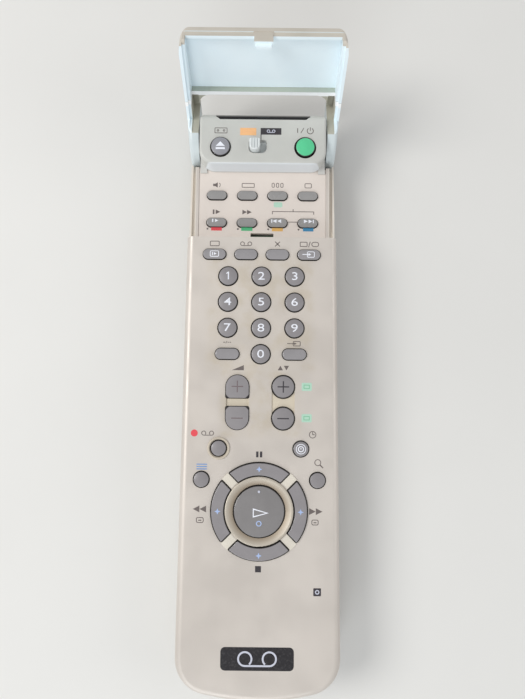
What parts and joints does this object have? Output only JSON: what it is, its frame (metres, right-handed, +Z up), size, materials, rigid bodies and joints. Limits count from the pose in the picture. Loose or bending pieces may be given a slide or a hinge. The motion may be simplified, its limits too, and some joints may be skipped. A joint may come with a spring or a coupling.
{
  "type": "video recorder remote control",
  "caption": "Hand-held infrared remote control with a flip-up hood, rows of keys and a four-way transport ring.",
  "frame": {"origin": "on the middle line of the flat back, near the middle of its length, where the remote rests", "axes": "+X to the right across the keys, +Y from the tail to the head, +Z up through the keys"},
  "size_m": [0.056, 0.2215, 0.0486],
  "materials": {
    "case_beige": "fine silver-beige paint",
    "case_back": "fine texture",
    "head_silver": "fine silver paint",
    "deck_beige": "smooth",
    "hood_silver": "smooth",
    "key_grey": "satin",
    "deck_key_grey": "satin",
    "power_green": "satin",
    "lever_white": "satin",
    "window_black": "polished",
    "mat_rubber": "matte",
    "board_green": "solder mask",
    "chip_black": "matte",
    "ribbon_white": "smooth",
    "led_clear": "clear, blue tint",
    "cell_jacket": "gloss",
    "contact_nickel": "nickel plated",
    "screw_steel": "zinc plated"
  },
  "bodies": {
    "case": {"upper_case": "case_beige", "deck_plate": "deck_beige", "head_cover": "head_silver", "lower_case": "case_back", "ir_window": "window_black", "main_key_mat": "mat_rubber", "deck_key_mat": "mat_rubber", "main_board": "board_green", "deck_board": "board_green", "controller_chip": "chip_black", "ribbon_cable": "ribbon_white", "infrared_led": "led_clear", "battery_left": "cell_jacket", "battery_right": "cell_jacket", "contact_positive": "contact_nickel", "contact_negative": "contact_nickel", "contact_bridge": "contact_nickel", "case_screws": "screw_steel"},
    "battery_cover": {"battery_cover": "case_back"},
    "clear_key": {"clear_key": "key_grey"},
    "dash_key": {"dash_key": "key_grey"},
    "deck_key_1": {"deck_key_1": "deck_key_grey"},
    "deck_key_2": {"deck_key_2": "deck_key_grey"},
    "deck_key_3": {"deck_key_3": "deck_key_grey"},
    "deck_key_4": {"deck_key_4": "deck_key_grey"},
    "deck_key_5": {"deck_key_5": "deck_key_grey"},
    "deck_key_6": {"deck_key_6": "deck_key_grey"},
    "deck_key_7": {"deck_key_7": "deck_key_grey"},
    "deck_key_8": {"deck_key_8": "deck_key_grey"},
    "digit_0_key": {"digit_0_key": "key_grey"},
    "digit_1_key": {"digit_1_key": "key_grey"},
    "digit_2_key": {"digit_2_key": "key_grey"},
    "digit_3_key": {"digit_3_key": "key_grey"},
    "digit_4_key": {"digit_4_key": "key_grey"},
    "digit_5_key": {"digit_5_key": "key_grey"},
    "digit_6_key": {"digit_6_key": "key_grey"},
    "digit_7_key": {"digit_7_key": "key_grey"},
    "digit_8_key": {"digit_8_key": "key_grey"},
    "digit_9_key": {"digit_9_key": "key_grey"},
    "display_key": {"display_key": "key_grey"},
    "eject_key": {"eject_key": "key_grey"},
    "forward_key": {"forward_key": "key_grey"},
    "hood": {"hood": "hood_silver"},
    "input_key": {"input_key": "key_grey"},
    "menu_key": {"menu_key": "key_grey"},
    "pause_key": {"pause_key": "key_grey"},
    "play_key": {"play_key": "key_grey"},
    "power_key": {"power_key": "power_green"},
    "programme_down_key": {"programme_down_key": "key_grey"},
    "programme_up_key": {"programme_up_key": "key_grey"},
    "record_key": {"record_key": "key_grey"},
    "rewind_key": {"rewind_key": "key_grey"},
    "search_key": {"search_key": "key_grey"},
    "select_key": {"select_key": "key_grey"},
    "speed_key": {"speed_key": "key_grey"},
    "stop_key": {"stop_key": "key_grey"},
    "switch_lever": {"switch_lever": "lever_white"},
    "timer_key": {"timer_key": "key_grey"},
    "volume_down_key": {"volume_down_key": "key_grey"},
    "volume_up_key": {"volume_up_key": "key_grey"}
  },
  "joints": [
    {"name": "battery_cover_slide", "type": "slide", "parent": "case", "child": "battery_cover", "axis": [0, -1, 0], "range_m": [0, 0.03]},
    {"name": "clear_press", "type": "slide", "parent": "case", "child": "clear_key", "axis": [0, 0, -1], "range_m": [0, 0.0008], "stiffness_N_per_m": 400},
    {"name": "dash_press", "type": "slide", "parent": "case", "child": "dash_key", "axis": [0, 0, -1], "range_m": [0, 0.0008], "stiffness_N_per_m": 400},
    {"name": "deck_1_press", "type": "slide", "parent": "case", "child": "deck_key_1", "axis": [0, 0, -1], "range_m": [0, 0.0008], "stiffness_N_per_m": 400},
    {"name": "deck_2_press", "type": "slide", "parent": "case", "child": "deck_key_2", "axis": [0, 0, -1], "range_m": [0, 0.0008], "stiffness_N_per_m": 400},
    {"name": "deck_3_press", "type": "slide", "parent": "case", "child": "deck_key_3", "axis": [0, 0, -1], "range_m": [0, 0.0008], "stiffness_N_per_m": 400},
    {"name": "deck_4_press", "type": "slide", "parent": "case", "child": "deck_key_4", "axis": [0, 0, -1], "range_m": [0, 0.0008], "stiffness_N_per_m": 400},
    {"name": "deck_5_press", "type": "slide", "parent": "case", "child": "deck_key_5", "axis": [0, 0, -1], "range_m": [0, 0.0008], "stiffness_N_per_m": 400},
    {"name": "deck_6_press", "type": "slide", "parent": "case", "child": "deck_key_6", "axis": [0, 0, -1], "range_m": [0, 0.0008], "stiffness_N_per_m": 400},
    {"name": "deck_7_press", "type": "slide", "parent": "case", "child": "deck_key_7", "axis": [0, 0, -1], "range_m": [0, 0.0008], "stiffness_N_per_m": 400},
    {"name": "deck_8_press", "type": "slide", "parent": "case", "child": "deck_key_8", "axis": [0, 0, -1], "range_m": [0, 0.0008], "stiffness_N_per_m": 400},
    {"name": "digit_0_press", "type": "slide", "parent": "case", "child": "digit_0_key", "axis": [0, 0, -1], "range_m": [0, 0.0008], "stiffness_N_per_m": 400},
    {"name": "digit_1_press", "type": "slide", "parent": "case", "child": "digit_1_key", "axis": [0, 0, -1], "range_m": [0, 0.0008], "stiffness_N_per_m": 400},
    {"name": "digit_2_press", "type": "slide", "parent": "case", "child": "digit_2_key", "axis": [0, 0, -1], "range_m": [0, 0.0008], "stiffness_N_per_m": 400},
    {"name": "digit_3_press", "type": "slide", "parent": "case", "child": "digit_3_key", "axis": [0, 0, -1], "range_m": [0, 0.0008], "stiffness_N_per_m": 400},
    {"name": "digit_4_press", "type": "slide", "parent": "case", "child": "digit_4_key", "axis": [0, 0, -1], "range_m": [0, 0.0008], "stiffness_N_per_m": 400},
    {"name": "digit_5_press", "type": "slide", "parent": "case", "child": "digit_5_key", "axis": [0, 0, -1], "range_m": [0, 0.0008], "stiffness_N_per_m": 400},
    {"name": "digit_6_press", "type": "slide", "parent": "case", "child": "digit_6_key", "axis": [0, 0, -1], "range_m": [0, 0.0008], "stiffness_N_per_m": 400},
    {"name": "digit_7_press", "type": "slide", "parent": "case", "child": "digit_7_key", "axis": [0, 0, -1], "range_m": [0, 0.0008], "stiffness_N_per_m": 400},
    {"name": "digit_8_press", "type": "slide", "parent": "case", "child": "digit_8_key", "axis": [0, 0, -1], "range_m": [0, 0.0008], "stiffness_N_per_m": 400},
    {"name": "digit_9_press", "type": "slide", "parent": "case", "child": "digit_9_key", "axis": [0, 0, -1], "range_m": [0, 0.0008], "stiffness_N_per_m": 400},
    {"name": "display_press", "type": "slide", "parent": "case", "child": "display_key", "axis": [0, 0, -1], "range_m": [0, 0.0008], "stiffness_N_per_m": 400},
    {"name": "eject_press", "type": "slide", "parent": "case", "child": "eject_key", "axis": [0, 0, -1], "range_m": [0, 0.0008], "stiffness_N_per_m": 400},
    {"name": "forward_press", "type": "slide", "parent": "case", "child": "forward_key", "axis": [0, 0, -1], "range_m": [0, 0.0008], "stiffness_N_per_m": 400},
    {"name": "hood_hinge", "type": "hinge", "parent": "case", "child": "hood", "pos_m": [0, 0.0958, 0.0129], "axis": [1, 0, 0], "range_deg": [0, 109.1]},
    {"name": "input_press", "type": "slide", "parent": "case", "child": "input_key", "axis": [0, 0, -1], "range_m": [0, 0.0008], "stiffness_N_per_m": 400},
    {"name": "menu_press", "type": "slide", "parent": "case", "child": "menu_key", "axis": [0, 0, -1], "range_m": [0, 0.0008], "stiffness_N_per_m": 400},
    {"name": "pause_press", "type": "slide", "parent": "case", "child": "pause_key", "axis": [0, 0, -1], "range_m": [0, 0.0008], "stiffness_N_per_m": 400},
    {"name": "play_press", "type": "slide", "parent": "case", "child": "play_key", "axis": [0, 0, -1], "range_m": [0, 0.0008], "stiffness_N_per_m": 400},
    {"name": "power_press", "type": "slide", "parent": "case", "child": "power_key", "axis": [0, 0, -1], "range_m": [0, 0.0008], "stiffness_N_per_m": 400},
    {"name": "programme_down_press", "type": "slide", "parent": "case", "child": "programme_down_key", "axis": [0, 0, -1], "range_m": [0, 0.0008], "stiffness_N_per_m": 400},
    {"name": "programme_up_press", "type": "slide", "parent": "case", "child": "programme_up_key", "axis": [0, 0, -1], "range_m": [0, 0.0008], "stiffness_N_per_m": 400},
    {"name": "record_press", "type": "slide", "parent": "case", "child": "record_key", "axis": [0, 0, -1], "range_m": [0, 0.0008], "stiffness_N_per_m": 400},
    {"name": "rewind_press", "type": "slide", "parent": "case", "child": "rewind_key", "axis": [0, 0, -1], "range_m": [0, 0.0008], "stiffness_N_per_m": 400},
    {"name": "search_press", "type": "slide", "parent": "case", "child": "search_key", "axis": [0, 0, -1], "range_m": [0, 0.0008], "stiffness_N_per_m": 400},
    {"name": "select_press", "type": "slide", "parent": "case", "child": "select_key", "axis": [0, 0, -1], "range_m": [0, 0.0008], "stiffness_N_per_m": 400},
    {"name": "speed_press", "type": "slide", "parent": "case", "child": "speed_key", "axis": [0, 0, -1], "range_m": [0, 0.0008], "stiffness_N_per_m": 400},
    {"name": "stop_press", "type": "slide", "parent": "case", "child": "stop_key", "axis": [0, 0, -1], "range_m": [0, 0.0008], "stiffness_N_per_m": 400},
    {"name": "switch_slide", "type": "slide", "parent": "case", "child": "switch_lever", "axis": [1, 0, 0], "range_m": [0, 0.0021]},
    {"name": "timer_press", "type": "slide", "parent": "case", "child": "timer_key", "axis": [0, 0, -1], "range_m": [0, 0.0008], "stiffness_N_per_m": 400},
    {"name": "volume_down_press", "type": "slide", "parent": "case", "child": "volume_down_key", "axis": [0, 0, -1], "range_m": [0, 0.0008], "stiffness_N_per_m": 400},
    {"name": "volume_up_press", "type": "slide", "parent": "case", "child": "volume_up_key", "axis": [0, 0, -1], "range_m": [0, 0.0008], "stiffness_N_per_m": 400}
  ]
}
